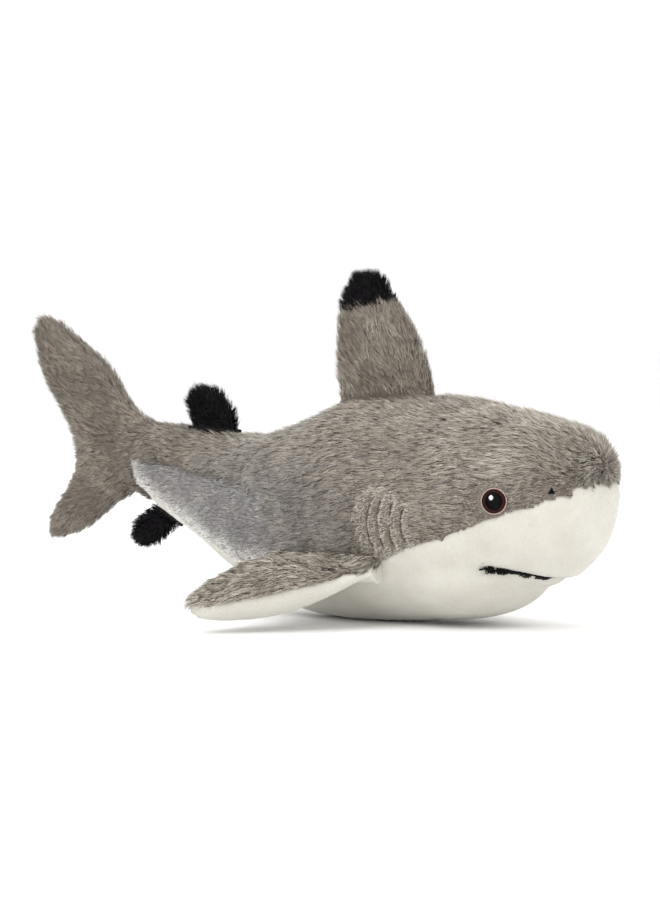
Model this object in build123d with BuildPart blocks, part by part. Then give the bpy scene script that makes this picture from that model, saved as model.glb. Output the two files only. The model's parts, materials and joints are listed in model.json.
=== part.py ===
from build123d import *
from math import cos, radians, sin
import os

os.makedirs("parts", exist_ok=True)

# Frame: nose +X, left side +Y, up +Z; z = 0 is the surface the toy rests on, in millimetres.

# ---------------------------------------------------------------- driving dimensions
PANEL = 4.0            # thickness of a sewn panel, knitted backing and pile together
JOINT_GAP = 0.5        # clearance round each sewn root that bends
WIDE = 400.0           # larger than the toy, for cutting tools

# Trunk and tail stations: x, half width, top, bottom, height of the widest line
BODY_STATIONS = [
    (-120, 12.5, 107.5, 70, 89),
    (-98, 17.5, 106, 57, 84),
    (-78, 22, 104, 44.5, 78),
    (-50, 30, 101.5, 26.5, 68),
    (-18, 42, 101, 11, 60),
    (17, 51.5, 113, 0, 57),
    (55, 56, 121.5, -3, 56),
    (90, 56.5, 122.5, 0.5, 58),
    (120, 54.5, 119.5, 10.5, 62),
    (145, 50.5, 115.5, 20.5, 66),
    (165, 43.5, 111, 25, 70),
    (180, 32, 104.5, 35, 72),
    (189.5, 18, 94, 52, 73),
    (193, 6.5, 81, 66, 74),
]

JAW_CENTRE = (99, 0, 31)
JAW_HALF = (58, 47, 29.5)

# Seams as side-view lines, x and z
HEAD_SEAM = [(200, 77), (180, 72.5), (165, 66), (150, 60), (133, 54), (115, 47), (98, 42), (82, 36)]
BELLY_SEAM = [(50, 31), (12, 29), (-43, 38), (-78, 55), (-125, 78)]
FLANK_SEAM = [(12, 29), (10.5, 46), (5, 62), (-9, 70.5), (-45, 76.5), (-89, 83), (-125, 85.5)]

# Upright fins, level by level from the root or the lower lobe out: z, rear x, front x, half thickness
DORSAL_LEVELS = [
    (114, 27, 84, 9), (123, 26, 85, 9.5), (132, 25.5, 83, 12), (145, 25, 78, 13),
    (161, 25.5, 70, 12), (170, 27, 63, 11), (182, 32, 55, 8.5), (188.5, 38, 48, 4),
]
SECOND_DORSAL_LEVELS = [
    (97, -72, -43, 5), (104, -73.5, -44, 6), (111, -75, -46.5, 7.5), (117, -77, -52, 7.5),
    (121.5, -74, -56, 6), (124.5, -69, -61, 3),
]
ANAL_LEVELS = [
    (60, -100, -80, 5), (54, -105, -79, 5.5), (48.5, -112, -82, 6.5), (43, -115.5, -90, 7.5),
    (37.5, -115, -97, 6), (34, -111, -104, 3),
]
CAUDAL_LEVELS = [
    (34.5, -176, -167, 2.5), (40, -179, -153, 5.5), (47, -177, -141, 7.5), (56, -171, -130, 9.5),
    (68, -163, -112, 11.5), (84, -157, -104, 12.5), (100, -162, -103, 12.5), (114, -171, -116, 11.5),
    (132, -181.5, -130, 10), (147, -187.5, -147, 8), (158, -188.5, -164, 6), (164.5, -184, -175, 2.5),
]
TIP_LINE = [(15, 163), (70, 171.5)]      # lower edge of the black cap of the first dorsal fin

# Pectoral fin, rib by rib: distance out from the hinge, rear x, front x, half thickness
PECTORAL_RIBS = [
    (0, 18, 84, 7.2), (10, 16, 82, 8.6), (26, 12, 72, 14), (42, 9, 58, 15.5),
    (56, 7, 44, 13), (67, 6, 32, 9.5), (74, 10, 23, 5),
]
PECTORAL_HINGE = (-51, 31)     # y and z of the right fin's hinge line
PECTORAL_DROOP = 15.0
PECTORAL_SEAM_RISE = 3.0        # the grey top panel meets the white underside this far above mid thickness

FIN_PANEL, SMALL_FIN_PANEL = 3.5, 2.5                  # panel thickness on the fins

# Hinge lines of the stuffed roots: first end, last end, radius of the root
DORSAL_ROOT = ((24.5, 0, 117.8), (86.5, 0, 122.7), 11.0)
SECOND_DORSAL_ROOT = ((-74.5, 0, 103.7), (-43, 0, 101.4), 6.5)
ANAL_ROOT = ((-97.5, 0, 55.8), (-78.5, 0, 44.3), 6.5)
PECTORAL_ROOT = ((17, *PECTORAL_HINGE), (85, *PECTORAL_HINGE), 9.0)
TAIL_HINGE_X, TAIL_ROOT_RADIUS = -35.0, 40.0
CAUDAL_HINGE_X, CAUDAL_ROOT_RADIUS = -116.0, 15.5

# Face
EYE_AT, EYE_RADII = (150, 69.5), (6.6, 6.0, 4.7)      # outline, iris and pupil radii
HIGHLIGHT_SHIFT, HIGHLIGHT_RADIUS = (-1.2, 1.8), 1.5
NOSTRIL_AT, NOSTRIL_SIZE = (176, 75.5), 3.6
EMBROIDERY_DEPTH, EMBROIDERY_PROUD = 2.2, 0.5
MOUTH_CENTRE_X, MOUTH_CORNER_ANGLE = 122, 68          # the mouth runs round this point, seen from below
MOUTH_CORNER_Z, MOUTH_FRONT_Z, MOUTH_THREAD = 32, 25.5, 1.1
# Gill tucks: x at the foot, middle and head, z at the foot and head
GILL_TUCKS = [
    (82, 77.5, 81, 42, 70), (88, 84, 87, 43, 69.5),
    (94.5, 91, 93.5, 44, 67.5), (101, 98, 99.5, 46, 65),
]
GILL_THREAD = 0.8

# Weight in the belly
POUCH_CENTRE, POUCH_HALF, POUCH_CLOTH = (62, 0, 22), (38, 27, 13), 1.0

# The middle plane of the toy: its far side is the left
MIDDLE = Plane.ZX
SIDES = {"left": Keep.TOP, "right": Keep.BOTTOM}


def save(solid, name):
    """Label a finished piece and write it as its own file."""
    solid.label = name
    export_step(solid, f"parts/{name}.step")


def body_loft(stations):
    """A smooth hull through sections that are an upper and a lower half ellipse."""
    with BuildPart() as hull:
        for x, half_width, top, bottom, widest in stations:
            middle = (0, widest)
            with BuildSketch(Plane.YZ.offset(x)):
                with BuildLine():
                    EllipticalCenterArc(middle, half_width, top - widest, start_angle=0, arc_size=180)
                    EllipticalCenterArc(middle, half_width, widest - bottom, start_angle=180, arc_size=180)
                make_face()
        loft()
    return hull.part


def ellipsoid(centre, half_sizes):
    """A closed ellipsoid with its axes along the toy's."""
    with BuildPart() as ball:
        Sphere(1)
        scale(by=half_sizes)
    return Pos(*centre) * ball.part


def upright_loft(levels, shrink=0.0):
    """A stuffed fin standing in the middle plane, from elliptical levels."""
    with BuildPart() as blade:
        for z, rear, front, half_thickness in levels:
            with BuildSketch(Plane.XY.offset(z)):
                with Locations(((rear + front) / 2, 0)):
                    Ellipse((front - rear) / 2 - shrink, half_thickness - shrink)
        loft()
    return blade.part


def pectoral_loft(ribs, shrink=0.0):
    """The right pectoral fin, from elliptical ribs square to its drooping span."""
    droop = radians(PECTORAL_DROOP)
    span = Vector(0, -cos(droop), -sin(droop))
    hinge = Vector(0, *PECTORAL_HINGE)
    with BuildPart() as blade:
        for distance, rear, front, half_thickness in ribs:
            with BuildSketch(Plane(origin=hinge + span * distance, x_dir=(1, 0, 0), z_dir=span)):
                with Locations(((rear + front) / 2, 0)):
                    Ellipse((front - rear) / 2 - shrink, half_thickness - shrink)
        loft()
    return blade.part


def root_roll(root, grow=0.0):
    """The round stuffed root of a fin, lying along its hinge line."""
    first, last, radius = root
    line = Vector(*last) - Vector(*first)
    with BuildPart(Plane(origin=Vector(*first) + line / 2, z_dir=line)) as roll:
        Cylinder(radius + grow, line.length + 2 * grow)
    return roll.part


def outside_plane(root, upward=True):
    """The plane through a hinge line that faces away from the trunk."""
    first, last, _ = root
    line = Vector(*last) - Vector(*first)
    normal = line.cross(Vector(0, 1, 0))
    return Plane(origin=first, x_dir=line, z_dir=normal if upward else -normal)


def upright_post(x, radius):
    """A vertical round post, the shape of a root that turns about a vertical line."""
    with BuildPart() as post:
        with Locations((x, 0, 0)):
            Cylinder(radius, WIDE)
    return post.part


def side_zone(*runs):
    """Everything, from side to side, inside an outline drawn in side view."""
    with BuildPart() as zone:
        with BuildSketch(Plane.XZ):
            with BuildLine():
                for run in runs:
                    if len(run) > 2:
                        Spline(*run)
                    else:
                        Line(*run)
            make_face()
        extrude(amount=WIDE / 2, both=True)
    return zone.part


def common(*solids):
    """What several solids share."""
    with BuildPart() as shared:
        add(solids[0])
        for solid in solids[1:]:
            add(solid, mode=Mode.INTERSECT)
    return shared.part


def less(solid, *tools):
    """A solid with others taken out of it."""
    with BuildPart() as rest:
        add(solid)
        for tool in tools:
            add(tool, mode=Mode.SUBTRACT)
    return rest.part


def half(solid, keep, plane=MIDDLE):
    """One side of a solid."""
    with BuildPart() as side:
        add(solid)
        split(bisect_by=plane, keep=keep)
    return side.part


# ---------------------------------------------------------------- whole trunk and tail
with BuildPart() as envelope:
    add(body_loft(BODY_STATIONS))
    add(ellipsoid(JAW_CENTRE, JAW_HALF))
    split(bisect_by=Plane.XY, keep=Keep.TOP)

core_stations = [(x, half_width - PANEL, top - PANEL, bottom + PANEL, widest)
                 for x, half_width, top, bottom, widest in BODY_STATIONS[:-2]]
with BuildPart() as core:
    add(body_loft(core_stations))
    add(ellipsoid(JAW_CENTRE, tuple(size - PANEL for size in JAW_HALF)))
    split(bisect_by=Plane.XY.offset(PANEL), keep=Keep.TOP)

pectoral_roots = [root_roll(PECTORAL_ROOT, JOINT_GAP)]
pectoral_roots.append(mirror(pectoral_roots[0], about=MIDDLE))

# Zones of the two bodies that the trunk divides into at the tail joint
with BuildPart() as behind_hinge:
    with Locations((TAIL_HINGE_X, 0, 0)):
        Box(WIDE, WIDE, WIDE, align=(Align.MAX, Align.CENTER, Align.CENTER))
with BuildPart() as before_caudal:
    with Locations((CAUDAL_HINGE_X, 0, 0)):
        Box(WIDE, WIDE, WIDE, align=(Align.MIN, Align.CENTER, Align.CENTER))
with BuildPart() as tail_zone:
    add(behind_hinge.part)
    add(upright_post(TAIL_HINGE_X, TAIL_ROOT_RADIUS))
    add(before_caudal.part, mode=Mode.INTERSECT)
    add(upright_post(CAUDAL_HINGE_X, CAUDAL_ROOT_RADIUS + JOINT_GAP), mode=Mode.SUBTRACT)

torso_cuts = [behind_hinge.part, upright_post(TAIL_HINGE_X, TAIL_ROOT_RADIUS + JOINT_GAP),
              root_roll(DORSAL_ROOT, JOINT_GAP), *pectoral_roots]
tail_cuts = [root_roll(SECOND_DORSAL_ROOT, JOINT_GAP), root_roll(ANAL_ROOT, JOINT_GAP)]

# Seam zones, in side view
upper_edge = [*HEAD_SEAM, *BELLY_SEAM[:2]]
back_zone = side_zone(upper_edge, FLANK_SEAM, (FLANK_SEAM[-1], (FLANK_SEAM[-1][0], WIDE)),
                      ((FLANK_SEAM[-1][0], WIDE), (HEAD_SEAM[0][0], WIDE)),
                      ((HEAD_SEAM[0][0], WIDE), HEAD_SEAM[0]))
flank_zone = side_zone(BELLY_SEAM[1:], FLANK_SEAM, (BELLY_SEAM[-1], FLANK_SEAM[-1]))

# ---------------------------------------------------------------- embroidery


def skin_point(start, direction):
    """Where a straight line from inside the trunk comes out of its skin, and the outward normal."""
    hits = envelope.part.find_intersection_points(Axis(start, direction))
    return max(hits, key=lambda hit: (hit[0] - Vector(*start)).dot(Vector(*direction)))


def right_patch(at):
    """A plane lying on the right cheek at x and z, with its Y up."""
    point, normal = skin_point((at[0], 0, at[1]), (0, -1, 0))
    return Plane(origin=point, x_dir=Vector(0, 0, 1).cross(normal), z_dir=normal)


def stitched(patch, outer, inner=0.0, shift=(0, 0)):
    """A satin-stitched disc or ring, sunk in the skin and standing a little proud."""
    with BuildPart() as disc:
        with BuildSketch(patch.offset(-EMBROIDERY_DEPTH)):
            with Locations(shift):
                Circle(outer)
                if inner:
                    Circle(inner, mode=Mode.SUBTRACT)
        extrude(amount=EMBROIDERY_DEPTH + EMBROIDERY_PROUD)
    return disc.part


def thread(points, radius):
    """A line of stitching through three points of the skin."""
    with BuildPart() as cord:
        with BuildLine() as path:
            ThreePointArc(*points)
        with BuildSketch(Plane(path.line ^ 0)):
            Circle(radius)
        sweep()
    return cord.part


eye_patch = right_patch(EYE_AT)
outline_radius, iris_radius, pupil_radius = EYE_RADII
highlight = stitched(eye_patch, HIGHLIGHT_RADIUS, shift=HIGHLIGHT_SHIFT)
right_face = {
    "eye_outline_right": stitched(eye_patch, outline_radius, iris_radius),
    "eye_iris_right": stitched(eye_patch, iris_radius, pupil_radius),
    "eye_pupil_right": less(stitched(eye_patch, pupil_radius), highlight),
    "eye_highlight_right": highlight,
}
eye_pocket = stitched(eye_patch, outline_radius)

with BuildPart() as nostril:
    with BuildSketch(right_patch(NOSTRIL_AT).offset(-EMBROIDERY_DEPTH)):
        RegularPolygon(NOSTRIL_SIZE / 2, 3, rotation=30)
    extrude(amount=EMBROIDERY_DEPTH + EMBROIDERY_PROUD)
right_face["nostril_right"] = nostril.part

gill_threads = []
for foot_x, middle_x, head_x, foot_z, head_z in GILL_TUCKS:
    spots = [(foot_x, foot_z), (middle_x, (foot_z + head_z) / 2), (head_x, head_z)]
    gill_threads.append(thread([skin_point((x, 0, z), (0, -1, 0))[0] for x, z in spots], GILL_THREAD))
with BuildPart() as gills:
    add(gill_threads)
right_face["gill_stitching_right"] = gills.part

mouth_turn = radians(MOUTH_CORNER_ANGLE)
mouth_corner = skin_point((MOUTH_CENTRE_X, 0, MOUTH_CORNER_Z), (cos(mouth_turn), -sin(mouth_turn), 0))[0]
mouth_front = skin_point((MOUTH_CENTRE_X, 0, MOUTH_FRONT_Z), (1, 0, 0))[0]
mouth = thread([mouth_corner, mouth_front, Vector(mouth_corner.X, -mouth_corner.Y, mouth_corner.Z)],
               MOUTH_THREAD)

face_pockets = [eye_pocket, nostril.part, *gill_threads]
face_pockets += [mirror(pocket, about=MIDDLE) for pocket in face_pockets]
face_pockets.append(mouth)

for name, solid in right_face.items():
    save(solid, name)
    save(mirror(solid, about=MIDDLE), name.replace("right", "left"))
save(mouth, "mouth_stitching")

# ---------------------------------------------------------------- trunk and tail panels
torso_shell = less(envelope.part, core.part, *torso_cuts, *face_pockets)
tail_shell = less(common(envelope.part, tail_zone.part), core.part, *tail_cuts)

for body, shell in {"torso": torso_shell, "tail": tail_shell}.items():
    for side, keep in SIDES.items():
        save(half(common(shell, back_zone), keep), f"{body}_back_panel_{side}")
        save(half(common(shell, flank_zone), keep), f"{body}_flank_panel_{side}")
    save(less(shell, back_zone, flank_zone), f"{body}_belly_panel")

# ---------------------------------------------------------------- what the trunk and tail hold
pouch_outer = ellipsoid(POUCH_CENTRE, POUCH_HALF)
pellets = ellipsoid(POUCH_CENTRE, tuple(size - POUCH_CLOTH for size in POUCH_HALF))
save(less(core.part, *torso_cuts, pouch_outer), "torso_fill")
save(less(pouch_outer, pellets), "pellet_pouch")
save(pellets, "pellets")
save(less(common(core.part, tail_zone.part), *tail_cuts), "tail_fill")

# ---------------------------------------------------------------- fins in the middle plane


def rooted_fin(levels, root, panel, upward=True):
    """Outer form and stuffing of an upright fin on its round root."""
    away = outside_plane(root, upward)
    outer = half(upright_loft(levels), Keep.TOP, away)
    outer += half(root_roll(root), Keep.BOTTOM, away)
    inner = half(upright_loft(levels[:-1], panel), Keep.TOP, away)
    inner += half(root_roll(root, -panel), Keep.BOTTOM, away)
    return outer, common(outer, inner)


dorsal, dorsal_fill = rooted_fin(DORSAL_LEVELS, DORSAL_ROOT, FIN_PANEL)
second_dorsal, second_dorsal_fill = rooted_fin(SECOND_DORSAL_LEVELS, SECOND_DORSAL_ROOT, SMALL_FIN_PANEL)
anal, anal_fill = rooted_fin(ANAL_LEVELS, ANAL_ROOT, SMALL_FIN_PANEL, upward=False)
caudal = upright_loft(CAUDAL_LEVELS) + common(envelope.part, upright_post(CAUDAL_HINGE_X, CAUDAL_ROOT_RADIUS))
caudal_fill = (upright_loft(CAUDAL_LEVELS[1:-1], FIN_PANEL)
               + common(core.part, upright_post(CAUDAL_HINGE_X, CAUDAL_ROOT_RADIUS - FIN_PANEL)))

tip_rear, tip_front = TIP_LINE
tip_zone = side_zone((tip_rear, tip_front), (tip_front, (tip_front[0], WIDE)),
                     ((tip_front[0], WIDE), (tip_rear[0], WIDE)), ((tip_rear[0], WIDE), tip_rear))

for side, keep in SIDES.items():
    dorsal_half = half(less(dorsal, dorsal_fill), keep)
    save(less(dorsal_half, tip_zone), f"dorsal_fin_panel_{side}")
    save(common(dorsal_half, tip_zone), f"dorsal_fin_tip_{side}")
    save(half(less(second_dorsal, second_dorsal_fill), keep), f"second_dorsal_fin_panel_{side}")
    save(half(less(anal, anal_fill), keep), f"anal_fin_panel_{side}")
    save(half(less(caudal, caudal_fill), keep), f"caudal_fin_panel_{side}")
save(dorsal_fill, "dorsal_fin_fill")
save(second_dorsal_fill, "second_dorsal_fin_fill")
save(anal_fill, "anal_fin_fill")
save(caudal_fill, "caudal_fin_fill")

# ---------------------------------------------------------------- pectoral fins
pectoral = pectoral_loft(PECTORAL_RIBS) + root_roll(PECTORAL_ROOT)
pectoral_fill = pectoral_loft(PECTORAL_RIBS[:-1], FIN_PANEL) + root_roll(PECTORAL_ROOT, -FIN_PANEL)
pectoral_droop = radians(PECTORAL_DROOP)
pectoral_seam = Plane(origin=(0, *PECTORAL_HINGE), x_dir=(1, 0, 0),
                      z_dir=(0, -sin(pectoral_droop), cos(pectoral_droop))).offset(PECTORAL_SEAM_RISE)
pectoral_skin = less(pectoral, pectoral_fill)
pectoral_pieces = {
    "pectoral_fin_top": half(pectoral_skin, Keep.TOP, pectoral_seam),
    "pectoral_fin_underside": half(pectoral_skin, Keep.BOTTOM, pectoral_seam),
    "pectoral_fin_fill": pectoral_fill,
}
for name, solid in pectoral_pieces.items():
    save(solid, f"{name}_right")
    save(mirror(solid, about=MIDDLE), f"{name}_left")
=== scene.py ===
import json
import math

import bmesh
import bpy
import numpy as np
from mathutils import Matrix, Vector
from mathutils.bvhtree import BVHTree

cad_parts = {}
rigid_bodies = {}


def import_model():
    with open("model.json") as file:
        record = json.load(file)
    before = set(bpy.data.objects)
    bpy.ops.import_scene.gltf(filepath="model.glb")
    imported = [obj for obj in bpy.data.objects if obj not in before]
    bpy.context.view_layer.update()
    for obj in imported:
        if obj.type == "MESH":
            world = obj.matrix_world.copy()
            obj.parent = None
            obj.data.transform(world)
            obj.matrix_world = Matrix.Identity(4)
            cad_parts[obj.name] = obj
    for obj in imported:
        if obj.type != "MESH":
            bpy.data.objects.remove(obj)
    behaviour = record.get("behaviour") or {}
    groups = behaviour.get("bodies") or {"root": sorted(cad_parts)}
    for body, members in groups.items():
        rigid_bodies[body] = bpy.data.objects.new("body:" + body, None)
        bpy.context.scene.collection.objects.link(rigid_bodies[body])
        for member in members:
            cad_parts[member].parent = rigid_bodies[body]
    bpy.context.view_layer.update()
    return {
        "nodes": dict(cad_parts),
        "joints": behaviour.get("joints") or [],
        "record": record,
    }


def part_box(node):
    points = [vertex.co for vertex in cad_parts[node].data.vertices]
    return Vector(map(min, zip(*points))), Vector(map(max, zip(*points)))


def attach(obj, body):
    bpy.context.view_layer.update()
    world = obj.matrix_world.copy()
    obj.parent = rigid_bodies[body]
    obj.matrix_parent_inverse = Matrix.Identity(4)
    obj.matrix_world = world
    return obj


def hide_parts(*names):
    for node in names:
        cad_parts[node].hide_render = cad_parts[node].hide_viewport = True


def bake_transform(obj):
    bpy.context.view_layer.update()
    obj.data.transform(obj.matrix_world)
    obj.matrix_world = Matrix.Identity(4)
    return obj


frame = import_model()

scene = bpy.context.scene
record = frame["record"]
nodes = frame["nodes"]
joints = {joint["name"]: joint for joint in frame["joints"]}
SIDES = ("left", "right")

# ---------------- sizes, in metres
BODY_VOXEL, FIN_VOXEL, SMALL_FIN_VOXEL, STUFFING_VOXEL = 0.004, 0.003, 0.002, 0.006
SKIN_GAUGE = 0.0012                     # knitted backing of the pile fabric
SPLIT_X = -0.085                        # panels are cut here, in the middle of the tail
TAIL_BEND = (0.0, -0.07)                # x where the tail's span starts and ends
CAUDAL_BEND = (-0.100, -0.132)
FIN_BEND = 0.012                        # a fin's span ends this far out from its root
ROOT_DEPTH = 0.006                      # how far a fin's skin goes into the body
LOWEST_CLOTH, LOWEST_PILE = 0.0012, 0.0003
SIM_FRAMES = 20
CLOTH_SETTINGS = dict(quality=5, mass=0.25, tension_stiffness=10, compression_stiffness=10, shear_stiffness=5,
                      bending_stiffness=0.5, use_pressure=True, uniform_pressure_force=4,
                      vertex_group_mass="seams")


def srgb(red, green, blue):
    """A colour given as 0 to 255 display values, as the shader's linear values."""
    def linear(value):
        value /= 255
        return value / 12.92 if value <= 0.04045 else ((value + 0.055) / 1.055) ** 2.4
    return (linear(red), linear(green), linear(blue), 1.0)


# ---------------- mesh helpers
def new_object(name, mesh):
    obj = bpy.data.objects.new(name, mesh)
    scene.collection.objects.link(obj)
    return obj


def new_mesh(name, points, faces):
    """A mesh from points and a list of faces."""
    mesh = bpy.data.meshes.new(name)
    mesh.from_pydata([tuple(p) for p in points], [], [tuple(f) for f in faces])
    mesh.update()
    return mesh


def points_of(mesh):
    flat = np.empty(len(mesh.vertices) * 3, np.float32)
    mesh.vertices.foreach_get("co", flat)
    return flat.reshape(-1, 3).astype(float)


def normals_of(mesh):
    flat = np.empty(len(mesh.vertices) * 3, np.float32)
    mesh.vertex_normals.foreach_get("vector", flat)
    return flat.reshape(-1, 3).astype(float)


def place_points(mesh, points):
    mesh.vertices.foreach_set("co", points.astype(np.float32).ravel())
    mesh.update()


def edges_of(mesh):
    flat = np.empty(len(mesh.edges) * 2, np.int32)
    mesh.edges.foreach_get("vertices", flat)
    return flat.reshape(-1, 2)


def quads_of(mesh):
    flat = np.empty(len(mesh.loops), np.int32)
    mesh.loops.foreach_get("vertex_index", flat)
    return flat.reshape(-1, 4)


def smooth_shaded(mesh):
    mesh.polygons.foreach_set("use_smooth", np.ones(len(mesh.polygons), bool))


def apply_modifiers(obj):
    graph = bpy.context.evaluated_depsgraph_get()
    made = bpy.data.meshes.new_from_object(obj.evaluated_get(graph))
    obj.modifiers.clear()
    old, obj.data = obj.data, made
    bpy.data.meshes.remove(old)
    smooth_shaded(obj.data)


def unit(vectors):
    return vectors / np.maximum(np.linalg.norm(vectors, axis=-1, keepdims=True), 1e-12)


def smoothstep(value, low, high):
    share = np.clip((value - low) / (high - low), 0, 1)
    return share * share * (3 - 2 * share)


def ripple(points, length, seed):
    """A smooth random field from -1 to 1 with features about that long."""
    rng = np.random.default_rng(seed)
    total = np.zeros(len(points))
    for _ in range(6):
        way = unit(rng.normal(size=3)) * 2 * math.pi / (length * rng.uniform(0.7, 1.5))
        total += np.sin(points @ way + rng.uniform(0, 2 * math.pi))
    return total / 3.0


def relax(values, edges, turns, amount=0.5):
    """Evens out a field or the points themselves over the mesh's edges."""
    count = np.zeros(len(values))
    np.add.at(count, edges[:, 0], 1)
    np.add.at(count, edges[:, 1], 1)
    shape = (-1,) + (1,) * (values.ndim - 1)
    for _ in range(turns):
        total = np.zeros_like(values)
        np.add.at(total, edges[:, 0], values[edges[:, 1]])
        np.add.at(total, edges[:, 1], values[edges[:, 0]])
        values = values + amount * (total / np.maximum(count, 1).reshape(shape) - values)
    return values


class NodeMap:
    """Tells which CAD node a point is nearest to, and how near. trims are pairs of a further
    node and the name it counts as. With outer, only the faces that look out of the toy count, so that
    two panels have no face in common."""

    def __init__(self, names, trims=(), outer=False):
        self.names = list(names)
        points, faces, rays, self.owner = [], [], [], []
        for name, counts_as in [(name, name) for name in self.names] + list(trims):
            mesh, first = nodes[name].data, len(points)
            points += [v.co.copy() for v in mesh.vertices]
            faces += [[first + i for i in polygon.vertices] for polygon in mesh.polygons]
            rays += [(polygon.center.copy(), polygon.normal.copy()) for polygon in mesh.polygons]
            self.owner += [self.names.index(counts_as)] * len(mesh.polygons)
        self.tree = BVHTree.FromPolygons(points, faces)
        if outer:
            kept = [index for index, (centre, normal) in enumerate(rays)
                    if self.tree.ray_cast(centre + normal * 0.0002, normal, 0.012)[0] is None]
            self.owner = [self.owner[index] for index in kept]
            self.tree = BVHTree.FromPolygons(points, [faces[index] for index in kept])

    def at(self, point):
        hit = self.tree.find_nearest(Vector(point))
        return self.owner[hit[2]]

    def owners(self, points):
        return np.array([self.at(p) for p in points])

    def distances(self, points, reach=0.05):
        found = (self.tree.find_nearest(Vector(p), reach) for p in points)
        return np.array([reach if hit[3] is None else hit[3] for hit in found])


# ---------------- stuffed forms
def slab(bm, centre, along, outward, length, width, depth, top):
    """A block that fills a root's socket, from depth to top below the hinge line."""
    along, outward = Vector(along).normalized(), Vector(outward).normalized()
    across = along.cross(outward)
    corners = []
    for a in (-length / 2, length / 2):
        for b in (-width / 2, width / 2):
            for c in (-depth, -top):
                corners.append(bm.verts.new(Vector(centre) + along * a + across * b + outward * c))
    for face in ((0, 1, 3, 2), (4, 6, 7, 5), (0, 4, 5, 1), (2, 3, 7, 6), (0, 2, 6, 4), (1, 5, 7, 3)):
        bm.faces.new([corners[i] for i in face])


def moulded(name, names, voxel, slabs=()):
    """One closed quad skin round several CAD nodes."""
    bm = bmesh.new()
    for node in names:
        bm.from_mesh(nodes[node].data)
    for block in slabs:
        slab(bm, *block)
    mesh = bpy.data.meshes.new(name)
    bm.to_mesh(mesh)
    bm.free()
    obj = new_object(name, mesh)
    remesh = obj.modifiers.new("remesh", "REMESH")
    remesh.mode = "VOXEL"
    remesh.voxel_size = voxel
    apply_modifiers(obj)
    keep_largest(obj.data)
    return obj


def keep_largest(mesh):
    """Drops the small closed islands that a remesh can leave inside."""
    edges = edges_of(mesh)
    label = np.arange(len(mesh.vertices))
    while True:
        low = np.minimum(label[edges[:, 0]], label[edges[:, 1]])
        before = label.copy()
        np.minimum.at(label, edges[:, 0], low)
        np.minimum.at(label, edges[:, 1], low)
        label = label[label]
        if (label == before).all():
            break
    values, counts = np.unique(label, return_counts=True)
    if len(values) > 1:
        bm = bmesh.new()
        bm.from_mesh(mesh)
        bm.verts.ensure_lookup_table()
        stray = [bm.verts[i] for i in np.nonzero(label != values[counts.argmax()])[0]]
        bmesh.ops.delete(bm, geom=stray, context="VERTS")
        bm.to_mesh(mesh)
        bm.free()


def stuffed(obj, cap, held):
    """Swells a form under pressure, as its filling does, by no more than cap. held is 1 where a seam
    keeps it in."""
    rest = points_of(obj.data)
    pins = obj.vertex_groups.new(name="seams")
    for index in np.nonzero(held > 0.02)[0]:
        pins.add([int(index)], float(held[index]), "REPLACE")
    cloth = obj.modifiers.new("cloth", "CLOTH")
    for name, value in CLOTH_SETTINGS.items():
        setattr(cloth.settings, name, value)
    cloth.settings.effector_weights.gravity = 0
    cloth.point_cache.frame_end = SIM_FRAMES
    for number in range(1, SIM_FRAMES + 1):
        scene.frame_set(number)
    graph = bpy.context.evaluated_depsgraph_get()
    swollen = points_of(obj.evaluated_get(graph).data)
    move = swollen - rest
    size = np.linalg.norm(move, axis=1, keepdims=True)
    move *= np.minimum(1, cap / np.maximum(size, 1e-9))
    obj.modifiers.clear()
    obj.vertex_groups.clear()
    scene.frame_set(1)
    place_points(obj.data, rest + relax(move, edges_of(obj.data), 2))


def subdivide(obj):
    finer = obj.modifiers.new("finer", "SUBSURF")
    finer.levels = finer.render_levels = 1
    apply_modifiers(obj)


def snap_to_seams(mesh, panels):
    """Moves the points next to a seam onto it, so that the panels have clean edges."""
    points, edges = points_of(mesh), edges_of(mesh)
    owner = panels.owners(points)
    best = {}
    for a, b in edges[owner[edges[:, 0]] != owner[edges[:, 1]]]:
        low, high = 0.0, 1.0
        for _ in range(5):
            middle = (low + high) / 2
            if panels.at(points[a] * (1 - middle) + points[b] * middle) == owner[a]:
                low = middle
            else:
                high = middle
        share = (low + high) / 2
        spot = points[a] * (1 - share) + points[b] * share
        vertex = a if share < 0.5 else b
        away = np.linalg.norm(spot - points[vertex])
        if vertex not in best or away < best[vertex][0]:
            best[vertex] = (away, spot)
    for vertex, (_, spot) in best.items():
        points[vertex] = spot
    place_points(mesh, points)
    return points, sorted(best)


def split_on_seam(quads, on_seam, count):
    """Cuts in two the quads that a seam crosses from corner to corner. Half a quad repeats its last corner."""
    held = np.zeros(count, bool)
    held[on_seam] = True
    first = held[quads[:, 0]] & held[quads[:, 2]]
    second = held[quads[:, 1]] & held[quads[:, 3]] & ~first
    halves = ((first, [0, 1, 2, 2]), (first, [0, 2, 3, 3]), (second, [0, 1, 3, 3]), (second, [1, 2, 3, 3]))
    return np.concatenate([quads[~(first | second)]] + [quads[cut][:, order] for cut, order in halves])


# ---------------- materials
def principled(name):
    material = bpy.data.materials.new(name)
    material.use_nodes = True
    return material, material.node_tree, material.node_tree.nodes["Principled BSDF"]


def settle(node, **values):
    """Sets a node's inputs, with _ for a space in their names."""
    for name, value in values.items():
        node.inputs[name.replace("_", " ")].default_value = value


def rest_position(tree):
    """Where a point of the cloth was at rest, so that its texture stays with it."""
    place = tree.nodes.new("ShaderNodeAttribute")
    place.attribute_name = "rest"
    return place.outputs["Vector"]


def noise(tree, scale, detail=4.0, roughness=0.6):
    texture = tree.nodes.new("ShaderNodeTexNoise")
    settle(texture, Scale=scale, Detail=detail, Roughness=roughness)
    tree.links.new(rest_position(tree), texture.inputs["Vector"])
    return texture.outputs["Fac"]


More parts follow.
